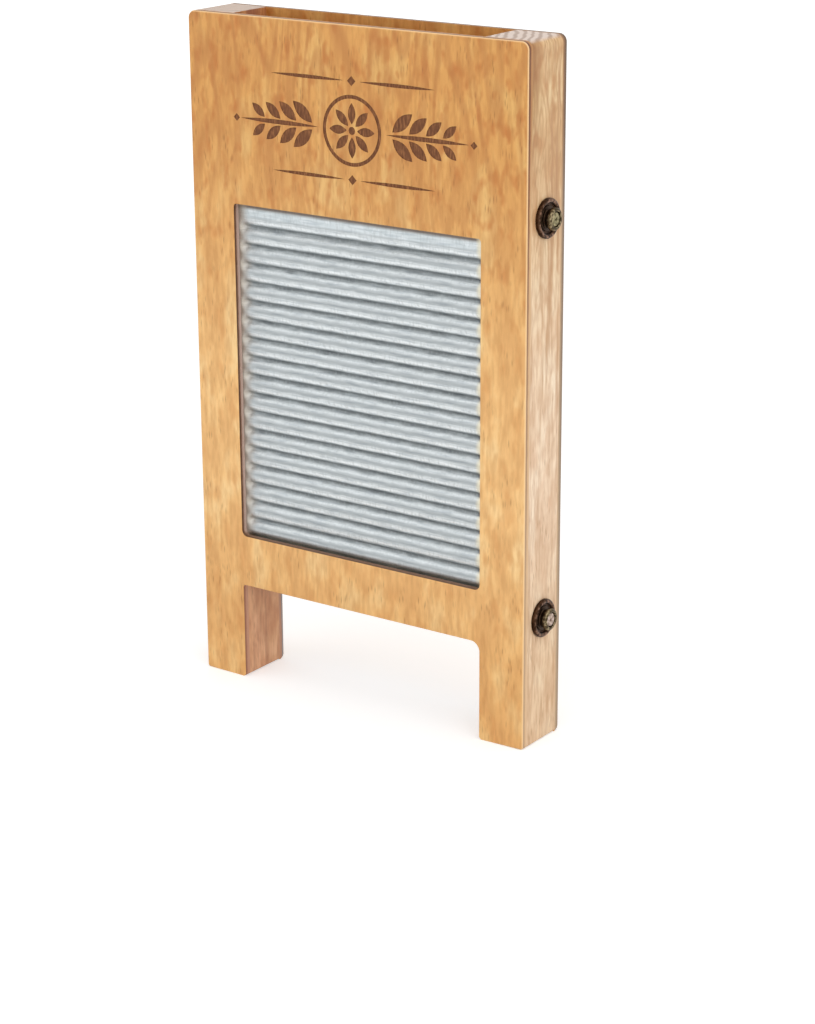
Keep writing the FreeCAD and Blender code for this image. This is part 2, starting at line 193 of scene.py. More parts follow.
# Front panel
# Three-ply board, 3 mm, face veneer with the grain upright, oiled to a satin golden tan. A laser cut
# it, so that its edges are burnt brown, and the outer edge was sanded round after glueing. The
# header carries a burnt frieze of leaves with a rosette in its middle.

PLY = 3 * MM
HALF_WIDTH = 77.5 * MM
HEIGHT = 270 * MM
HALF_OPENING = 57.5 * MM
ARCH_TOP = 40 * MM
WINDOW_LOW = 61 * MM
WINDOW_HIGH = 197 * MM
FRONT_FACE = -13 * MM
TIGHT_RADIUS = 1.2 * MM
WINDOW_RADIUS = 2.5 * MM
ARCH_RADIUS = 4 * MM
CORNER_RADIUS = 3 * MM
FOOT_RADIUS = 1.2 * MM
EDGE_ROUND = 0.8 * MM
CUTOUT_EASE = 0.4 * MM
ENGRAVED = 0.2 * MM
SHARP_ANGLE = math.radians(35)
RIGHT_ANGLE_LEAST = 1.0
SAME_LENGTH = 0.01 * MM
WELD = 0.0005 * MM
CUT_MARGIN = 0.5 * MM
RING_DENSITY = 62


def bevel(shape, edges, radius, segments):
    """Round some edges of a bmesh."""
    bmesh.ops.bevel(
        shape,
        geom=edges,
        offset=radius,
        segments=segments,
        affect="EDGES",
        profile=0.5,
        material=-1,
    )


def square_edges(shape, chosen):
    """List the edges between two square faces whose middle point passes a test."""
    found = []
    for edge in shape.edges:
        centre = (edge.verts[0].co + edge.verts[1].co) / 2
        if edge.calc_face_angle(0) > RIGHT_ANGLE_LEAST and chosen(centre, edge):
            found.append(edge)
    return found


def near(value, target):
    """Say whether two lengths are the same to a hundredth of a millimetre."""
    return abs(value - target) < SAME_LENGTH


def saw_panel(face, thickness, has_window):
    """Cut a panel with its arch, and its window if it has one, without rounding any edge."""
    shape = bmesh.new()
    bmesh.ops.create_grid(shape, x_segments=1, y_segments=1, size=0.5)
    upright = Matrix.Rotation(math.pi / 2, 4, "X")
    to_size = Matrix.Diagonal((2 * HALF_WIDTH, HEIGHT, 1, 1))
    shape.transform(Matrix.Translation((0, face, HEIGHT / 2)) @ upright @ to_size)
    across = [(Vector((x, 0, 0)), Vector((1, 0, 0))) for x in (-HALF_OPENING, 0, HALF_OPENING)]
    up = [(Vector((0, 0, z)), Vector((0, 0, 1))) for z in (ARCH_TOP, WINDOW_LOW, WINDOW_HIGH)]
    for place, direction in across + up:
        whole = shape.verts[:] + shape.edges[:] + shape.faces[:]
        bmesh.ops.bisect_plane(shape, geom=whole, plane_co=place, plane_no=direction)
    waste = []
    for cell in shape.faces:
        centre = cell.calc_center_median()
        in_window = has_window and WINDOW_LOW < centre.z < WINDOW_HIGH
        if abs(centre.x) < HALF_OPENING and (centre.z < ARCH_TOP or in_window):
            waste.append(cell)
    bmesh.ops.delete(shape, geom=waste, context="FACES")
    grown = bmesh.ops.extrude_face_region(shape, geom=shape.faces[:])["geom"]
    moved = [item for item in grown if isinstance(item, bmesh.types.BMVert)]
    bmesh.ops.translate(shape, verts=moved, vec=(0, thickness, 0))
    bmesh.ops.recalc_face_normals(shape, faces=shape.faces)
    seams = []
    for edge in shape.edges:
        centre = (edge.verts[0].co + edge.verts[1].co) / 2
        if edge.calc_face_angle(0) < 0.01 and not near(centre.x, 0):
            seams.append(edge)
    bmesh.ops.dissolve_edges(shape, edges=seams, use_verts=True)

    def at_tight_corner(centre, edge):
        left_of_arch = near(centre.x, -HALF_OPENING) and near(centre.z, ARCH_TOP)
        over_window = near(abs(centre.x), HALF_OPENING) and near(centre.z, WINDOW_HIGH)
        return left_of_arch or over_window

    def at_arch_corner(centre, edge):
        return near(centre.x, HALF_OPENING) and near(centre.z, ARCH_TOP)

    def at_window_corner(centre, edge):
        return near(abs(centre.x), HALF_OPENING) and near(centre.z, WINDOW_LOW)

    def at_top(centre, edge):
        return near(abs(centre.x), HALF_WIDTH) and near(centre.z, HEIGHT)

    bevel(shape, square_edges(shape, at_tight_corner), TIGHT_RADIUS, 6)
    bevel(shape, square_edges(shape, at_arch_corner), ARCH_RADIUS, 10)
    bevel(shape, square_edges(shape, at_window_corner), WINDOW_RADIUS, 8)
    bevel(shape, square_edges(shape, at_top), CORNER_RADIUS, 8)
    return shape


def shade(mesh):
    """Shade a mesh smooth, but for its sharp edges."""
    mesh.shade_smooth()
    mesh.set_sharp_from_angle(angle=SHARP_ANGLE)


def carve(shape, cutter):
    """Cut one bmesh out of another. The cut faces keep the cutter's material number."""
    holders = []
    for number, part in enumerate((shape, cutter)):
        mesh = bpy.data.meshes.new(f"carving_{number}")
        part.to_mesh(mesh)
        part.free()
        for _ in range(2):
            mesh.materials.append(None)
        holder = bpy.data.objects.new(f"carving_{number}", mesh)
        scene.collection.objects.link(holder)
        holders.append(holder)
    cut = holders[0].modifiers.new("cut", "BOOLEAN")
    cut.object = holders[1]
    cut.solver = "EXACT"
    graph = bpy.context.evaluated_depsgraph_get()
    result = bpy.data.meshes.new_from_object(holders[0].evaluated_get(graph))
    carved = bmesh.new()
    carved.from_mesh(result)
    for holder in holders:
        mesh = holder.data
        bpy.data.objects.remove(holder)
        bpy.data.meshes.remove(mesh)
    bpy.data.meshes.remove(result)
    return carved


def add_piece(name, shape, materials, slot, *nodes):
    """Make a finished bmesh a piece that rides on the board and stands for CAD nodes."""
    bmesh.ops.remove_doubles(shape, verts=shape.verts, dist=WELD)
    mesh = bpy.data.meshes.new(name)
    shape.to_mesh(mesh)
    shape.free()
    shade(mesh)
    for material in materials:
        mesh.materials.append(material)
    piece = bpy.data.objects.new(name, mesh)
    scene.collection.objects.link(piece)
    flat_first = piece.modifiers.new("flat_faces_first", "WEIGHTED_NORMAL")
    flat_first.keep_sharp = True
    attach(piece, "root")
    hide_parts(*nodes)
    return piece


def new_material(name):
    """Start a material without nodes."""
    material = bpy.data.materials.new(name)
    material.use_nodes = True
    material.node_tree.nodes.clear()
    return material


def paint_wood(material, tones, figure_width, shift):
    """Paint oiled wood with upright grain. It gives its colour and a height for the bump."""
    place = add_node(material, "TexCoord").outputs["Object"]
    level = add_node(material, "SeparateXYZ", {"Vector": place}).outputs["Z"]
    apart = (shift, shift, shift)
    along = add_node(
        material, "Mapping", {"Vector": place, "Location": apart, "Scale": (1, 1, 0.2)}
    )
    loose = add_node(
        material, "Mapping", {"Vector": place, "Location": apart, "Scale": (1, 1, 0.5)}
    )
    cloud = add_node(material, "TexNoise", {"Vector": loose, "Scale": 1 / (11 * MM), "Detail": 4})
    colour = add_node(
        material,
        "ValToRGB",
        {"Fac": cloud},
        stops=((0.34, tones["deep"]), (0.5, tones["mid"]), (0.64, tones["pale"])),
    )
    spot = add_node(material, "TexNoise", {"Vector": loose, "Scale": 1 / (4.5 * MM), "Detail": 2})
    spot_reach = add_node(
        material,
        "MapRange",
        {
            "Value": level,
            "From Min": 150 * MM,
            "From Max": 230 * MM,
            "To Min": 0.45,
            "To Max": 1,
        },
    )
    spot_part = add_node(
        material,
        "MapRange",
        {"Value": spot, "From Min": 0.5, "From Max": 0.7, "To Max": spot_reach},
    )
    colour = add_node(
        material,
        "MixRGB",
        {"Fac": spot_part, "Color1": colour, "Color2": linear(tones["warm"])},
    )

    # Contour lines of a slow noise look as growth rings do where a board is cut along them.
    figure = add_node(
        material, "TexNoise", {"Vector": along, "Scale": 1 / figure_width, "Detail": 1}
    )
    rings = add_node(material, "Math", {0: figure, 1: RING_DENSITY}, operation="MULTIPLY")
    rings = add_node(material, "Math", {0: rings}, operation="SINE")
    ring_reach = add_node(
        material,
        "MapRange",
        {
            "Value": level,
            "From Min": 150 * MM,
            "From Max": 230 * MM,
            "To Min": 0.14,
            "To Max": 0.5,
        },
    )
    ring_part = add_node(
        material, "MapRange", {"Value": rings, "From Min": 0, "From Max": 1, "To Max": ring_reach}
    )
    colour = add_node(
        material,
        "MixRGB",
        {"Fac": ring_part, "Color1": colour, "Color2": linear(tones["ring"])},
    )

    fibre = add_node(material, "TexNoise", {"Vector": along, "Scale": 1 / (1.7 * MM), "Detail": 3})
    fibre_part = add_node(
        material, "MapRange", {"Value": fibre, "From Min": 0.6, "From Max": 0.34, "To Max": 0.48}
    )
    colour = add_node(
        material,
        "MixRGB",
        {"Fac": fibre_part, "Color1": colour, "Color2": linear(tones["fibre"])},
    )

    # Pores are drawn as dashes, a little wider than real ones, so that they show.
    pore = add_node(material, "TexVoronoi", {"Vector": along, "Scale": 1 / (1.1 * MM)})
    dash = add_node(
        material,
        "MapRange",
        {"Value": pore, "From Min": 0.1, "From Max": 0.36, "To Min": 1, "To Max": 0},
    )
    crowd = add_node(material, "TexNoise", {"Vector": loose, "Scale": 1 / (6 * MM), "Detail": 1})
    crowd_part = add_node(
        material, "MapRange", {"Value": crowd, "From Min": 0.46, "From Max": 0.62, "To Max": 0.45}
    )
    dash = add_node(material, "Math", {0: dash, 1: crowd_part}, operation="MULTIPLY")
    colour = add_node(
        material, "MixRGB", {"Fac": dash, "Color1": colour, "Color2": linear(tones["pore"])}
    )

    # Painted shade: the wood is darker towards its top, and half as much at the feet, where less light
    # falls.
    top_shade_part = add_node(
        material,
        "MapRange",
        {"Value": level, "From Min": 105 * MM, "From Max": 245 * MM},
        interpolation_type="SMOOTHSTEP",
    )
    foot_shade_part = add_node(
        material,
        "MapRange",
        {"Value": level, "From Min": 90 * MM, "From Max": 30 * MM, "To Max": 0.5},
    )
    shade_part = add_node(material, "Math", {0: top_shade_part, 1: foot_shade_part}, operation="MAXIMUM")
    colour = add_node(
        material,
        "MixRGB",
        {"Fac": shade_part, "Color1": colour, "Color2": linear(tones["painted_shade"])},
        blend_type="MULTIPLY",
    )
    height = add_node(material, "Math", {0: fibre, 1: dash}, operation="SUBTRACT")
    return colour, height


def oil_wood(material, colour, height):
    """Close a wood material with a satin oil finish."""
    roughness = add_node(
        material,
        "MapRange",
        {"Value": height, "From Min": 0, "From Max": 0.8, "To Min": 0.6, "To Max": 0.46},
    )
    bump = add_node(material, "Bump", {"Height": height, "Strength": 0.3, "Distance": 0.04 * MM})
    surface = add_node(
        material,
        "BsdfPrincipled",
        {
            "Base Color": colour,
            "Roughness": roughness,
            "Normal": bump,
            "Coat Weight": 0.1,
            "Coat Roughness": 0.36,
        },
    )
    add_node(material, "OutputMaterial", {"Surface": surface})


PLY_TONES = {
    "pale": "#FBD698",
    "mid": "#F5C480",
    "deep": "#E8B472",
    "warm": "#D8944E",
    "ring": "#CA8E50",
    "fibre": "#CC9556",
    "pore": "#946230",
    "painted_shade": "#E4CFA8",
}
FRONT_EDGES = {
    "sanded": "#F8D29C",
    "burnt": 0.5,
    "outer": ((0.2, "#A87040"), (0.3, "#7C4A1E"), (0.5, "#8A5628"), (0.64, "#D2A474"), (1, "#DAB284")),
    "arch": ((0.04, "#A56B48"), (0.2, "#8C583A"), (0.42, "#A87055"), (0.6, "#C38D6E"), (1, "#C79274")),
    "window": ((0.05, "#5E3519"), (0.3, "#4E2B15"), (0.46, "#8A6048"), (0.6, "#B49788"), (1, "#C4A99C")),
}
BACK_EDGES = {
    "sanded": "#86694E",
    "burnt": 0.75,
    "outer": ((0.2, "#6E5B4A"), (0.5, "#806852"), (0.74, "#A88868"), (0.88, "#C49E78"), (1, "#D2AC86")),
    "arch": ((0.1, "#8E8A88"), (0.4, "#9C9696"), (0.55, "#B48468"), (0.8, "#C08C70"), (1, "#BC8A6E")),
}


def make_panel_ply(name, edges, shift):
    """Oiled plywood: veneer on the face, and three plies with a burnt line on the edges."""
    material = new_material(name)
    colour, height = paint_wood(material, PLY_TONES, 24 * MM, shift)
    texture = add_node(material, "TexCoord")
    place = add_node(material, "SeparateXYZ", {"Vector": texture.outputs["Object"]})
    away = add_node(material, "Math", {0: place.outputs["Y"]}, operation="ABSOLUTE")
    depth = add_node(material, "Math", {0: -FRONT_FACE, 1: away}, operation="SUBTRACT")
    ply_place = add_node(material, "Math", {0: depth, 1: PLY}, operation="DIVIDE")
    soot = add_node(
        material, "TexNoise", {"Vector": texture.outputs["Object"], "Scale": 1 / (5 * MM)}
    )
    wander = add_node(material, "Math", {0: soot, 1: 0.24, 2: -0.12}, operation="MULTIPLY_ADD")
    ply_place = add_node(material, "Math", {0: ply_place, 1: wander}, operation="ADD")
    outer_edge = add_node(material, "ValToRGB", {"Fac": ply_place}, stops=edges["outer"])
    burnt_part = add_node(
        material,
        "MapRange",
        {
            "Value": place.outputs["Z"],
            "From Min": 60 * MM,
            "From Max": 220 * MM,
            "To Min": edges["burnt"],
            "To Max": 1,
        },
    )
    outer_edge = add_node(
        material,
        "MixRGB",
        {"Fac": burnt_part, "Color1": linear("#E4C49C"), "Color2": outer_edge},
    )

    # Painted shade: the edges are darker near the top, as the faces are.
    edge_shade_part = add_node(
        material,
        "MapRange",
        {"Value": place.outputs["Z"], "From Min": 205 * MM, "From Max": 242 * MM},
    )
    outer_edge = add_node(
        material,
        "MixRGB",
        {"Fac": edge_shade_part, "Color1": outer_edge, "Color2": linear("#D6BE9C")},
        blend_type="MULTIPLY",
    )

    # The laser's cuts are told from the outer edges by their place.
    across = add_node(material, "Math", {0: place.outputs["X"]}, operation="ABSOLUTE")
    inward = add_node(
        material, "Math", {0: across, 1: HALF_OPENING + CUT_MARGIN}, operation="LESS_THAN"
    )
    low_down = add_node(
        material, "Math", {0: place.outputs["Z"], 1: ARCH_TOP + CUT_MARGIN}, operation="LESS_THAN"
    )
    at_arch = add_node(material, "Math", {0: inward, 1: low_down}, operation="MULTIPLY")
    arch_edge = add_node(material, "ValToRGB", {"Fac": ply_place}, stops=edges["arch"])
    edge = add_node(
        material, "MixRGB", {"Fac": at_arch, "Color1": outer_edge, "Color2": arch_edge}
    )
    at_cutout = at_arch
    if "window" in edges:
        window_middle = (WINDOW_LOW + WINDOW_HIGH) / 2
        window_reach = (WINDOW_HIGH - WINDOW_LOW) / 2 + CUT_MARGIN
        beside = add_node(
            material,
            "Math",
            {0: place.outputs["Z"], 1: window_middle, 2: window_reach},
            operation="COMPARE",
        )
        at_window = add_node(material, "Math", {0: inward, 1: beside}, operation="MULTIPLY")
        window_edge = add_node(material, "ValToRGB", {"Fac": ply_place}, stops=edges["window"])
        facing_up = add_node(material, "SeparateXYZ", {"Vector": texture.outputs["Normal"]})
        ledge = add_node(
            material,
            "MapRange",
            {"Value": facing_up.outputs["Z"], "From Min": 0.3, "From Max": 0.8, "To Max": 0.75},
        )
        window_edge = add_node(
            material,
            "MixRGB",
            {"Fac": ledge, "Color1": window_edge, "Color2": linear("#6E4A2A")},
        )
        edge = add_node(
            material, "MixRGB", {"Fac": at_window, "Color1": edge, "Color2": window_edge}
        )
        at_cutout = add_node(material, "Math", {0: at_arch, 1: at_window}, operation="MAXIMUM")

    turned_to = add_node(material, "SeparateXYZ", {"Vector": texture.outputs["Normal"]})
    facing = add_node(material, "Math", {0: turned_to.outputs["Y"]}, operation="ABSOLUTE")
    sanded_part = add_node(
        material, "MapRange", {"Value": facing, "From Min": 0.95, "From Max": 0.6, "To Max": 0.85}
    )
    sanded_part = add_node(
        material, "Math", {0: sanded_part, 1: at_cutout}, operation="SUBTRACT", use_clamp=True
    )

    # Painted shade: the left edge's round-over, which turns away from the light, is grey and not bright.
    left_round_shade = add_node(
        material, "MapRange", {"Value": place.outputs["X"], "From Min": -75.5 * MM, "From Max": -77 * MM}
    )
    sanded = add_node(
        material,
        "MixRGB",
        {"Fac": left_round_shade, "Color1": linear(edges["sanded"]), "Color2": linear("#D8BE98")},
    )
    colour = add_node(
        material, "MixRGB", {"Fac": sanded_part, "Color1": colour, "Color2": sanded}
    )
    edge_part = add_node(
        material, "MapRange", {"Value": facing, "From Min": 0.42, "From Max": 0.14}
    )
    colour = add_node(
        material, "MixRGB", {"Fac": edge_part, "Color1": colour, "Color2": edge}
    )
    oil_wood(material, colour, height)
    return material


front_veneer = make_panel_ply("plywood_oiled_laser_cut_front", FRONT_EDGES, 0)

# Wood burnt by the laser: dry, dark brown and a little uneven along the grain.
burnt_wood = new_material("plywood_laser_engraved")
burnt_place = add_node(
    burnt_wood,
    "Mapping",
    {"Vector": add_node(burnt_wood, "TexCoord").outputs["Object"], "Scale": (1, 1, 0.25)},
)
scorch = add_node(
    burnt_wood, "TexNoise", {"Vector": burnt_place, "Scale": 1 / (0.8 * MM), "Detail": 3}
)
scorch_colour = add_node(
    burnt_wood,
    "ValToRGB",
    {"Fac": scorch},
    stops=((0.3, "#5E3519"), (0.5, "#744626"), (0.7, "#966239")),
)
scorch_bump = add_node(
    burnt_wood, "Bump", {"Height": scorch, "Strength": 0.4, "Distance": 0.05 * MM}
)
scorched_face = add_node(
    burnt_wood,
    "BsdfPrincipled",
    {"Base Color": scorch_colour, "Roughness": 0.85, "Normal": scorch_bump},
)
add_node(burnt_wood, "OutputMaterial", {"Surface": scorched_face})


def add_leaf(shape, length, width, place):
    """Add a flat pointed leaf with its stalk at the origin, then put it in place."""
    made = bmesh.ops.create_circle(shape, cap_ends=True, segments=20, radius=0.5)["verts"]
    for vertex in made:
        across = vertex.co.y
        vertex.co = ((vertex.co.x + 0.5) * length, 2 * across * abs(across) * width, 0)
    bmesh.ops.transform(shape, matrix=place, verts=made)


def turned(x, y, degrees):
    """Give the matrix that turns a flat shape and then moves it, in millimetres."""
    return Matrix.Translation((x * MM, y * MM, 0)) @ Matrix.Rotation(math.radians(degrees), 4, "Z")


def draw_frieze():
    """Draw the frieze as flat faces round the origin: rosette, ring, leaf sprays and rules."""
    shape = bmesh.new()
    for petal in range(8):
        add_leaf(shape, 8 * MM, 3.4 * MM, turned(0, 0, 45 * petal) @ turned(2.4, 0, 0))
    bmesh.ops.create_circle(shape, cap_ends=True, segments=20, radius=1.5 * MM)
    ring = []
    for radius in (12, 13.4):
        made = bmesh.ops.create_circle(shape, cap_ends=False, segments=48, radius=radius * MM)
        ring += {edge for vertex in made["verts"] for edge in vertex.link_edges}
    bmesh.ops.bridge_loops(shape, edges=ring)
    for side in (0, 180):
        spray = turned(0, 0, side)
        add_leaf(shape, 37 * MM, 1.8 * MM, spray @ turned(15.6, 0, 0))
        for number, start in enumerate((18.5, 26, 33.5, 41)):
            length = (11.6 - 1.3 * number) * MM
            width = (4.8 - 0.5 * number) * MM
            for lean in (40, -40):
                stalk = turned(start, math.copysign(1.3, lean), lean)
                add_leaf(shape, length, width, spray @ stalk)
        end = turned(54.6, 0, 0)
        made = bmesh.ops.create_circle(shape, cap_ends=True, segments=4, radius=1.5 * MM)["verts"]
        bmesh.ops.transform(shape, matrix=spray @ end, verts=made)
        add_leaf(shape, 34 * MM, 1.4 * MM, spray @ turned(3.6, -18.5, 0))
        add_leaf(shape, 34 * MM, 1.4 * MM, spray @ turned(3.6, 18.5, 0))
    for height in (-18.5, 18.5):
        made = bmesh.ops.create_circle(shape, cap_ends=True, segments=4, radius=1.9 * MM)["verts"]
        bmesh.ops.translate(shape, verts=made, vec=(0, height * MM, 0))
    return shape


FRIEZE_LEVEL = 231 * MM
CLEAR = 0.3 * MM

frieze = draw_frieze()
raised = bmesh.ops.extrude_face_region(frieze, geom=frieze.faces[:])["geom"]
raised = [item for item in raised if isinstance(item, bmesh.types.BMVert)]
bmesh.ops.translate(frieze, verts=raised, vec=(0, 0, CLEAR + ENGRAVED))
bmesh.ops.recalc_face_normals(frieze, faces=frieze.faces)
frieze.transform(
    Matrix.Translation((0, FRONT_FACE + ENGRAVED, FRIEZE_LEVEL)) @ Matrix.Rotation(math.pi / 2, 4, "X")
)
for face in frieze.faces:
    face.material_index = 1

front_shape = saw_panel(FRONT_FACE, PLY, True)


def at_front_foot(centre, edge):
    across = near(edge.verts[0].co.x, edge.verts[1].co.x)
    return across and near(centre.z, 0) and near(centre.y, FRONT_FACE + PLY / 2)


def at_front_outline(centre, edge):
    outside = abs(centre.x) > HALF_OPENING + 2 * MM or centre.z > HEIGHT - MM
    return near(centre.y, FRONT_FACE) and outside


def at_front_cutout(centre, edge):
    return near(centre.y, FRONT_FACE) and not at_front_outline(centre, edge)


bevel(front_shape, square_edges(front_shape, at_front_foot), FOOT_RADIUS, 5)
bevel(front_shape, square_edges(front_shape, at_front_outline), EDGE_ROUND, 6)
bevel(front_shape, square_edges(front_shape, at_front_cutout), CUTOUT_EASE, 4)
front_shape = carve(front_shape, frieze)
add_piece(
    "veneered_front_panel", front_shape, [front_veneer, burnt_wood], "front_ply", "front_panel"
)

# Back panel
# The same plywood without a window. It closes the box from behind. The lower back edge of its legs
# is worn round.

BACK_JOINT = 10 * MM
HEEL_RADIUS = 2 * MM
back_shape = saw_panel(BACK_JOINT, PLY, False)


def at_heel(centre, edge):
    return near(centre.y, BACK_JOINT + PLY) and near(centre.z, 0)


def at_back_outline(centre, edge):
    return min(edge.verts[0].co.y, edge.verts[1].co.y) > BACK_JOINT + 0.1 * MM


bevel(back_shape, square_edges(back_shape, at_heel), HEEL_RADIUS, 8)
bevel(back_shape, square_edges(back_shape, at_back_outline), EDGE_ROUND, 6)
back_veneer = make_panel_ply("plywood_oiled_laser_cut_back", BACK_EDGES, 0.4)
add_piece("veneered_back_panel", back_shape, [back_veneer], "back_ply", "back_panel")

# Posts
# Planed softwood, 20 mm square, with straight upright grain and the same oil. They are paler and
# pinker than the plywood. The CAD solids have the right shape, so they stay and only get their wood.

# The posts take a lit and a shaded copy of one wood: the left post's tones are painted darker and redder
# as shade, for the face of it that shows lies inside the box.
POST_TONES = {
    "left_post": {
        "pale": "#FACAA4",
        "mid": "#EEBC94",
        "deep": "#D69A70",
        "warm": "#CE8A66",
        "ring": "#B87A58",
        "fibre": "#C88E6C",
        "pore": "#9A6A4E",
        "painted_shade": "#E4CFA8",
        "stripe": "#A4694A",
        "end": ("#A88C7A", "#D8C2B0"),
    },
    "right_post": {
        "pale": "#FFEACE",
        "mid": "#FADFC0",
        "deep": "#E6C4A2",
        "warm": "#DEB28C",
        "ring": "#C89C74",
        "fibre": "#CCA27C",
        "pore": "#A47A56",
        "painted_shade": "#E9DCBE",
        "stripe": "#BC8C60",
        "end": ("#B09684", "#DCC8BA"),
    },
}
RING_SPACING = 3.1 * MM


def make_post_wood(name, tones, shift):
    """Oiled softwood: stripes along the grain on the sides, growth rings on the ends."""
    material = new_material(name)
    colour, height = paint_wood(material, tones, 9 * MM, shift)
    texture = add_node(material, "TexCoord")
    place = texture.outputs["Object"]
    long_place = add_node(
        material,
        "Mapping",
        {"Vector": place, "Location": (shift, shift, shift), "Scale": (1, 1, 0.07)},
    )
    stripe = add_node(
        material, "TexNoise", {"Vector": long_place, "Scale": 1 / (2.6 * MM), "Detail": 3}
    )
    parts = add_node(material, "SeparateXYZ", {"Vector": place})
    stripe_reach = add_node(
        material,
        "MapRange",
        {
            "Value": parts.outputs["Z"],
            "From Min": 120 * MM,
            "From Max": 225 * MM,
            "To Min": 0.45,
            "To Max": 1,
        },
    )
    stripe_part = add_node(
        material,
        "MapRange",
        {"Value": stripe, "From Min": 0.48, "From Max": 0.64, "To Max": stripe_reach},
    )
    colour = add_node(
        material,
        "MixRGB",
        {"Fac": stripe_part, "Color1": colour, "Color2": linear(tones["stripe"])},
    )

    # A darker vein runs down the front of each post from its top.
    in_front = add_node(
        material,
        "MapRange",
        {"Value": parts.outputs["Y"], "From Min": -3.5 * MM, "From Max": -9 * MM},
    )
    high_up = add_node(
        material,
        "MapRange",
        {"Value": parts.outputs["Z"], "From Min": 222 * MM, "From Max": 248 * MM},
    )
    vein = add_node(material, "Math", {0: in_front, 1: high_up}, operation="MULTIPLY")
    colour = add_node(
        material,
        "MixRGB",
        {"Fac": vein, "Color1": colour, "Color2": linear("#D8C6AC")},
        blend_type="MULTIPLY",
    )

    # The rings lie round the tree's heart, which is outside the posts. A wave of scale s has its
    # crests pi / 10 / s apart.
    centre = add_node(
        material, "Mapping", {"Vector": place, "Location": (30 * MM, 55 * MM, 0)}
    )
    end_rings = add_node(
        material,
        "TexWave",
        {"Vector": centre, "Scale": math.pi / 10 / RING_SPACING, "Distortion": 4, "Detail": 3},
        wave_type="RINGS",
        rings_direction="Z",
    )
    # The end grain's rings are real; their greyed tones are a painted sheen.
    dark_end, pale_end = tones["end"]
    end_grain_and_sheen = add_node(
        material, "ValToRGB", {"Fac": end_rings}, stops=((0.1, dark_end), (0.7, pale_end))
    )
    upward = add_node(material, "SeparateXYZ", {"Vector": texture.outputs["Normal"]})
    upward = add_node(material, "Math", {0: upward.outputs["Z"]}, operation="ABSOLUTE")
    end_part = add_node(material, "MapRange", {"Value": upward, "From Min": 0.6, "From Max": 0.95})
    colour = add_node(
        material, "MixRGB", {"Fac": end_part, "Color1": colour, "Color2": end_grain_and_sheen}
    )
    oil_wood(material, colour, height)
    return material


for number, (node, tones) in enumerate(POST_TONES.items(), start=1):
    post_wood = make_post_wood(f"softwood_planed_oiled_{number}", tones, 0.1 * number)
    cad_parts[node].material_slots[0].material = post_wood

# Ribbed sheet
# Galvanised steel, 0.4 mm. Broad round crests stand between narrow grooves that were pressed
# backwards, 7.5 mm apart, and the ribs die out near the posts. Above them the sheet is flat.

SHEET_FRONT = -10 * MM
SHEET = 0.4 * MM
SHEET_HALF = 62.5 * MM
SHEET_LOW = 54 * MM
SHEET_HIGH = 204 * MM
FIRST_CREST = 56.25 * MM
PITCH = 7.5 * MM
RIBS = 18
RIB_DEPTH = 1.8 * MM
GROOVE_RADIUS = 1.1 * MM
RIB_END = 57.45 * MM
RUNOUT = 3 * MM
COLUMNS = 72
WAVE = 0.05 * MM
RIPPLE_LENGTHS = {"long": 9 * MM, "short": 3.5 * MM}
RIB_WANDER = 0.9 * MM

crest_radius = (RIB_DEPTH**2 + PITCH**2 / 4) / (2 * RIB_DEPTH) - GROOVE_RADIUS
lean = math.atan2(PITCH / 2, crest_radius + GROOVE_RADIUS - RIB_DEPTH)


def add_arc(shape, vertex, depth, height, angle, steps):
    """Go on from a vertex round an axis that lies across the sheet."""
    made = bmesh.ops.spin(
        shape,
        geom=[vertex],
        cent=(0, SHEET_FRONT + depth, height),
        axis=(1, 0, 0),
        angle=angle,
        steps=steps,
    )
    return next(item for item in made["geom_last"] if isinstance(item, bmesh.types.BMVert))


def add_line(shape, vertex, rise):
    """Go straight up from a vertex."""
    made = bmesh.ops.extrude_vert_indiv(shape, verts=[vertex])["verts"]
    bmesh.ops.translate(shape, verts=made, vec=(0, 0, rise))
    return made[0]


sheet_shape = bmesh.new()
last = sheet_shape.verts.new((-SHEET_HALF, SHEET_FRONT, SHEET_LOW))
last = add_line(sheet_shape, last, FIRST_CREST - SHEET_LOW)
for rib in range(RIBS):
    crest = FIRST_CREST + rib * PITCH
    last = add_arc(sheet_shape, last, crest_radius, crest, -lean, 5)
    last = add_arc(sheet_shape, last, RIB_DEPTH - GROOVE_RADIUS, crest + PITCH / 2, 2 * lean, 6)
    last = add_arc(sheet_shape, last, crest_radius, crest + PITCH, -lean, 5)
add_line(sheet_shape, last, SHEET_HIGH - FIRST_CREST - RIBS * PITCH)

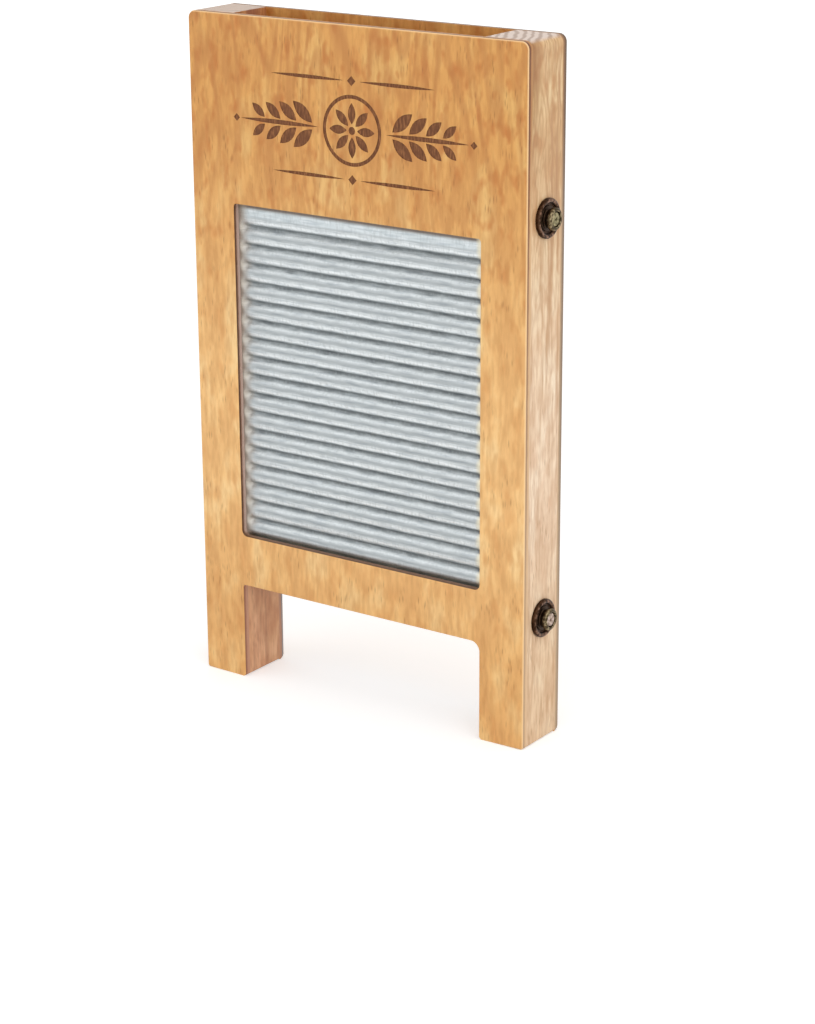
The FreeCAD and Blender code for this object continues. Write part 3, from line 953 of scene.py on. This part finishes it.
stations = [-SHEET_HALF]
stations += [-RIB_END + RUNOUT * step / 6 for step in range(7)]
inner = RIB_END - RUNOUT
stations += [-inner + 2 * inner * step / COLUMNS for step in range(1, COLUMNS)]
stations += [RIB_END - RUNOUT * step / 6 for step in range(6, -1, -1)]
stations += [SHEET_HALF]
front_edges = sheet_shape.edges[:]
for here, after in zip(stations, stations[1:]):
    grown = bmesh.ops.extrude_edge_only(sheet_shape, edges=front_edges)["geom"]
    moved = [item for item in grown if isinstance(item, bmesh.types.BMVert)]
    front_edges = [item for item in grown if isinstance(item, bmesh.types.BMEdge)]
    front_edges = [edge for edge in front_edges if all(vertex in moved for vertex in edge.verts)]
    bmesh.ops.translate(sheet_shape, verts=moved, vec=(after - here, 0, 0))
for vertex in sheet_shape.verts:
    left = min(max((RIB_END - abs(vertex.co.x)) / RUNOUT, 0), 1)
    share = left * left * (3 - 2 * left)
    ripple = noise.noise(vertex.co / RIPPLE_LENGTHS["long"])
    ripple += 0.5 * noise.noise(vertex.co / RIPPLE_LENGTHS["short"])
    depth = (vertex.co.y - SHEET_FRONT) * share * (1 + 0.05 * ripple)
    vertex.co.y = SHEET_FRONT + depth + WAVE * share * (0.5 + 0.33 * ripple)
bmesh.ops.recalc_face_normals(sheet_shape, faces=sheet_shape.faces)
if sum(face.normal.y for face in sheet_shape.faces) > 0:
    bmesh.ops.reverse_faces(sheet_shape, faces=sheet_shape.faces)
bmesh.ops.solidify(sheet_shape, geom=sheet_shape.faces[:], thickness=SHEET)

# Painted light and shade across one rib, from crest to crest: a dull grey crest as a painted reflection,
# bright flanks as painted reflections, and a dark groove as painted shade, whose upper wall is painted the
# palest.
PAINTED_RIB_LIGHT = (
    (0, "#B4B9BB"),
    (0.1, "#9FA4A6"),
    (0.167, "#A8ADAF"),
    (0.233, "#BCC1C3"),
    (0.3, "#D0D5D7"),
    (0.367, "#C5CACC"),
    (0.433, "#8F9496"),
    (0.5, "#797E80"),
    (0.55, "#7B8082"),
    (0.605, "#919698"),
    (0.67, "#B7BCBE"),
    (0.735, "#DDE2E4"),
    (0.8, "#ECF1F3"),
    (0.87, "#DFE4E6"),
    (0.94, "#C9CED0"),
)
zinc = new_material("steel_galvanised_pressed")
place = add_node(zinc, "TexCoord").outputs["Object"]
parts = add_node(zinc, "SeparateXYZ", {"Vector": place})
wobble = add_node(zinc, "TexNoise", {"Vector": place, "Scale": 1 / (5 * MM), "Detail": 3})
level = add_node(
    zinc, "Math", {0: wobble, 1: RIB_WANDER, 2: parts.outputs["Z"]}, operation="MULTIPLY_ADD"
)
above_first = add_node(
    zinc, "Math", {0: level, 1: FIRST_CREST + RIB_WANDER / 2}, operation="SUBTRACT"
)
phase = add_node(zinc, "Math", {0: above_first, 1: PITCH}, operation="DIVIDE")
phase = add_node(zinc, "Math", {0: phase}, operation="FRACT")
ribbed = add_node(zinc, "ValToRGB", {"Fac": phase}, stops=PAINTED_RIB_LIGHT)

# Beyond the ribs, and where they run out at the left, the zinc has one even tone with a spangle.
spangle = add_node(zinc, "TexVoronoi", {"Vector": place, "Scale": 1 / (5 * MM)})
spangle_tone = add_node(zinc, "SeparateColor", {"Color": spangle.outputs["Color"]})
even = add_node(zinc, "ValToRGB", {"Fac": spangle_tone}, stops=((0, "#C2CACD"), (1, "#D0D6D9")))
from_left = add_node(
    zinc,
    "MapRange",
    {"Value": parts.outputs["X"], "From Min": -57 * MM, "From Max": -50 * MM, "To Min": 0.2},
)
from_low = add_node(
    zinc,
    "MapRange",
    {"Value": parts.outputs["Z"], "From Min": 62.5 * MM, "From Max": 64.5 * MM},
)
last_crest = FIRST_CREST + RIBS * PITCH
from_high = add_node(
    zinc,
    "MapRange",
    {"Value": parts.outputs["Z"], "From Min": last_crest + 1 * MM, "From Max": last_crest},
)
in_field = add_node(zinc, "Math", {0: from_low, 1: from_high}, operation="MULTIPLY")
in_field = add_node(zinc, "Math", {0: in_field, 1: from_left}, operation="MULTIPLY")
colour = add_node(zinc, "MixRGB", {"Fac": in_field, "Color1": even, "Color2": ribbed})

# The grooves, which lie halfway between two crests, get dark blotches that come and go along them:
# partly real stain, partly painted shade of the deep groove.
centred = add_node(zinc, "Math", {0: phase, 1: 0.5}, operation="SUBTRACT")
centred = add_node(zinc, "Math", {0: centred}, operation="ABSOLUTE")
groove_part = add_node(
    zinc,
    "MapRange",
    {"Value": centred, "From Min": 0.15, "From Max": 0.05},
    interpolation_type="SMOOTHSTEP",
)
groove_part = add_node(zinc, "Math", {0: groove_part, 1: in_field}, operation="MULTIPLY")
blotch_place = add_node(zinc, "Mapping", {"Vector": place, "Scale": (0.2, 0.2, 1)})
blotch = add_node(
    zinc, "TexNoise", {"Vector": blotch_place, "Scale": 1 / (2 * MM), "Detail": 4}
)
groove_stain_and_shade = add_node(
    zinc, "MapRange", {"Value": blotch, "From Min": 0.52, "From Max": 0.68, "To Max": 0.55}
)
groove_stain_and_shade = add_node(zinc, "Math", {0: groove_stain_and_shade, 1: groove_part}, operation="MULTIPLY")
colour = add_node(
    zinc, "MixRGB", {"Fac": groove_stain_and_shade, "Color1": colour, "Color2": linear("#5A6064")}
)
clean_part = add_node(
    zinc, "MapRange", {"Value": blotch, "From Min": 0.46, "From Max": 0.34, "To Max": 0.35}
)
clean_part = add_node(zinc, "Math", {0: clean_part, 1: groove_part}, operation="MULTIPLY")
colour = add_node(
    zinc, "MixRGB", {"Fac": clean_part, "Color1": colour, "Color2": linear("#AAB1B4")}
)

# Long fine scratches follow the ribs, and short ones cross them.
long_place = add_node(zinc, "Mapping", {"Vector": place, "Scale": (0.08, 0.08, 1)})
scratch = add_node(
    zinc, "TexNoise", {"Vector": long_place, "Scale": 1 / (0.7 * MM), "Detail": 2}
)
scratched = add_node(
    zinc, "ValToRGB", {"Fac": scratch}, stops=((0.34, "#E6E8EA"), (0.5, "#FAFAF9"), (0.64, "#FFFFFF"))
)
colour = add_node(
    zinc,
    "MixRGB",
    {"Fac": 1, "Color1": colour, "Color2": scratched},
    blend_type="MULTIPLY",
)
short_place = add_node(zinc, "Mapping", {"Vector": place, "Scale": (1, 1, 0.25)})
speck = add_node(
    zinc, "TexNoise", {"Vector": short_place, "Scale": 1 / (0.8 * MM), "Detail": 3}
)
speck_part = add_node(
    zinc, "MapRange", {"Value": speck, "From Min": 0.52, "From Max": 0.32, "To Max": 0.35}
)
colour = add_node(
    zinc, "MixRGB", {"Fac": speck_part, "Color1": colour, "Color2": linear("#A0A6A8")}
)

# Painted light along the frame: a painted shadow under its upper edge, a painted reflection of the wood
# beside the left one, and at the right ends of the ribs painted shade in the grooves and painted
# yellowish reflections of the wood between them.
shadow_under_edge = add_node(
    zinc,
    "MapRange",
    {
        "Value": parts.outputs["Z"],
        "From Min": WINDOW_HIGH - 2.5 * MM,
        "From Max": WINDOW_HIGH - 1.3 * MM,
        "To Max": 0.85,
    },
)
colour = add_node(
    zinc, "MixRGB", {"Fac": shadow_under_edge, "Color1": colour, "Color2": linear("#5E4C3C")}
)
# Painted reflection of the left wall's wood on the zinc.
wall_reflection = add_node(
    zinc,
    "MapRange",
    {"Value": parts.outputs["X"], "From Min": -52.5 * MM, "From Max": -56.5 * MM, "To Max": 0.75},
)
colour = add_node(
    zinc, "MixRGB", {"Fac": wall_reflection, "Color1": colour, "Color2": linear("#B4A898")}
)
# Painted shade in the grooves and painted yellowish reflections of the wood between them, at the right
# ends.
end_shade_and_reflection = add_node(
    zinc, "MixRGB", {"Fac": groove_part, "Color1": linear("#DCD2B6"), "Color2": linear("#3C2E24")}
)
right_end = add_node(
    zinc,
    "MapRange",
    {"Value": parts.outputs["X"], "From Min": 53.4 * MM, "From Max": 55 * MM, "To Max": 0.7},
)
colour = add_node(zinc, "MixRGB", {"Fac": right_end, "Color1": colour, "Color2": end_shade_and_reflection})
zinc_bump = add_node(zinc, "Bump", {"Height": speck, "Strength": 0.4, "Distance": 0.03 * MM})
zinc_surface = add_node(
    zinc,
    "BsdfPrincipled",
    {"Base Color": colour, "Metallic": 1, "Roughness": 0.5, "Normal": zinc_bump},
)
add_node(zinc, "OutputMaterial", {"Surface": zinc_surface})
add_piece("pressed_zinc_sheet", sheet_shape, [zinc], "galvanised_sheet", "ribbed_sheet")

# Press-studs
# Turned and pressed brass, blackened chemically and rubbed bright where it is touched. Each is a
# dished base with a rolled rim, a stud with a round head, and a pan-head wood screw with a cross
# recess that holds both to the post.

TURNING_STEPS = 56
STUD_LEVELS = {"upper": 205 * MM, "lower": 50.5 * MM}
BASE_OUTLINE = [
    (1.15, 0, 0),
    (7.5, 0, 0.25),
    (7.5, 1.7, 0.85),
    (5.7, 1.7, 0.85),
    (5.7, 0.5, 0.3),
    (1.15, 0.5, 0),
]
STUD_OUTLINE = [
    (1.15, 0.5, 0),
    (4.8, 0.5, 0),
    (4.8, 1.0, 0.2),
    (3.4, 1.0, 0.35),
    (3.4, 2.1, 0.3),
    (4.25, 2.6, 0.3),
    (4.25, 4.5, 0.8),
    (2.9, 4.5, 0.3),
    (2.9, 2.8, 0),
    (1.15, 2.8, 0),
]
SCREW_OUTLINE = [
    (0, -11.2, 0),
    (1.1, -8.7, 0),
    (1.1, 2.8, 0),
    (2.7, 2.8, 0.1),
    (2.7, 4.2, 0.6),
    (0, 4.2, 0),
]
SCREW_CROWN = 4.2 * MM
RECESS_LENGTH = 2 * MM
RECESS_WIDTH = 0.65 * MM
RECESS_DEPTH = 0.7 * MM


def turn(outline):
    """Turn a closed outline of radius, height and edge radius, in millimetres, about the Z axis."""
    shape = bmesh.new()
    corners = [shape.verts.new((radius * MM, 0, height * MM)) for radius, height, _ in outline]
    lines = [shape.edges.new(pair) for pair in zip(corners, corners[1:] + corners[:1])]
    bmesh.ops.spin(
        shape,
        geom=corners + lines,
        cent=(0, 0, 0),
        axis=(0, 0, 1),
        angle=2 * math.pi,
        steps=TURNING_STEPS,
        use_merge=True,
    )
    bmesh.ops.remove_doubles(shape, verts=shape.verts, dist=2 * WELD)
    loose = [edge for edge in shape.edges if not edge.link_faces]
    bmesh.ops.delete(shape, geom=loose, context="EDGES")
    bmesh.ops.recalc_face_normals(shape, faces=shape.faces)
    for radius, height, rounding in outline:
        if not rounding:
            continue
        ring = []
        for edge in shape.edges:
            ends = [vertex.co for vertex in edge.verts]
            on_ring = [near(point.xy.length, radius * MM) and near(point.z, height * MM) for point in ends]
            if all(on_ring):
                ring.append(edge)
        bevel(shape, ring, rounding * MM, 5)
    return shape


def cut_cross_recess(shape, height):
    """Sink a tapered cross into the top of a screw's head, one arm after the other."""
    for angle in (0, 90):
        arm = bmesh.new()
        bmesh.ops.create_cube(arm, size=1)
        for vertex in arm.verts:
            if vertex.co.z < 0:
                vertex.co.x *= 0.45
                vertex.co.y *= 0.6
        to_size = Matrix.Diagonal((RECESS_LENGTH, RECESS_WIDTH, 2 * RECESS_DEPTH, 1))
        about = Matrix.Rotation(math.radians(angle), 4, "Z")
        arm.transform(Matrix.Translation((0, 0, height)) @ about @ to_size)
        shape = carve(shape, arm)
    return shape


def antique(name, tones, from_face, to_face, roughness):
    """Antiqued metal: dark in its hollows, and rubbed bright beyond a height above the wood."""
    material = new_material(name)
    place = add_node(material, "TexCoord").outputs["Object"]
    parts = add_node(material, "SeparateXYZ", {"Vector": place})
    height = add_node(material, "Math", {0: parts.outputs["X"]}, operation="ABSOLUTE")
    patina = add_node(material, "TexNoise", {"Vector": place, "Scale": 1 / (1.3 * MM), "Detail": 4})
    stain = add_node(
        material,
        "ValToRGB",
        {"Fac": patina},
        stops=((0.38, tones["dark"]), (0.62, tones["stained"])),
    )
    rubbed = add_node(
        material,
        "ValToRGB",
        {"Fac": patina},
        stops=((0.4, tones["green"]), (0.6, tones["rubbed"])),
    )
    exposed = add_node(
        material,
        "MapRange",
        {
            "Value": height,
            "From Min": HALF_WIDTH + from_face,
            "From Max": HALF_WIDTH + to_face,
        },
    )
    patchy = add_node(
        material, "MapRange", {"Value": patina, "From Min": 0.44, "From Max": 0.6, "To Min": 0.25}
    )
    exposed = add_node(material, "Math", {0: exposed, 1: patchy}, operation="MULTIPLY")
    colour = add_node(
        material, "MixRGB", {"Fac": exposed, "Color1": stain, "Color2": rubbed}
    )
    bump = add_node(material, "Bump", {"Height": patina, "Strength": 0.3, "Distance": 0.05 * MM})
    shine = add_node(
        material,
        "MapRange",
        {
            "Value": patina,
            "From Min": 0.3,
            "From Max": 0.7,
            "To Min": roughness,
            "To Max": roughness + 0.14,
        },
    )
    surface = add_node(
        material,
        "BsdfPrincipled",
        {"Base Color": colour, "Metallic": 1, "Roughness": shine, "Normal": bump},
    )
    add_node(material, "OutputMaterial", {"Surface": surface})
    return material


BASE_TONES = {"dark": "#2E1D13", "stained": "#4A3323", "green": "#503A28", "rubbed": "#8C6C5A"}
STUD_TONES = {"dark": "#33231A", "stained": "#4C3A2C", "green": "#686040", "rubbed": "#9A8A6C"}
SCREW_TONES = {
    "upper": {"dark": "#6A5C42", "stained": "#8A7E62", "green": "#7C7E58", "rubbed": "#A89C78"},
    "lower": {"dark": "#7A685A", "stained": "#A08C7C", "green": "#AE9A8A", "rubbed": "#CCB8AC"},
}
# On the bases the rubbed patches of the rim are partly real wear and partly painted glints.
base_brass = antique("brass_pressed_antiqued", BASE_TONES, 1.3 * MM, 1.7 * MM, 0.3)
stud_brass = antique("brass_turned_antiqued", STUD_TONES, 2.6 * MM, 4.1 * MM, 0.38)

# The screws are steel with a thin bronze plating, paler than the studs. The lower screws take a paler,
# pinker copy of the same finish: painted light.
screw_steel = {
    place_name: antique(f"steel_bronze_plated_{place_name}", tones, 3.4 * MM, 4 * MM, 0.4)
    for place_name, tones in SCREW_TONES.items()
}

for side, outward in (("left", -1), ("right", 1)):
    for place_name, level in STUD_LEVELS.items():
        where = f"{place_name}_{side}"
        on_post = Matrix.Translation((outward * HALF_WIDTH, 0, level)) @ Matrix.Rotation(
            outward * math.pi / 2, 4, "Y"
        )
        base = turn(BASE_OUTLINE)
        stud = turn(STUD_OUTLINE)
        screw = cut_cross_recess(turn(SCREW_OUTLINE), SCREW_CROWN)
        for shape in (base, stud, screw):
            shape.transform(on_post)
        add_piece(f"dished_base_{where}", base, [base_brass], "antique_brass", f"stud_base_{where}")
        add_piece(f"round_stud_{where}", stud, [stud_brass], "antique_brass", f"stud_{where}")
        plated = screw_steel[place_name]
        add_piece(f"pan_screw_{where}", screw, [plated], "screw_steel", f"stud_screw_{where}")
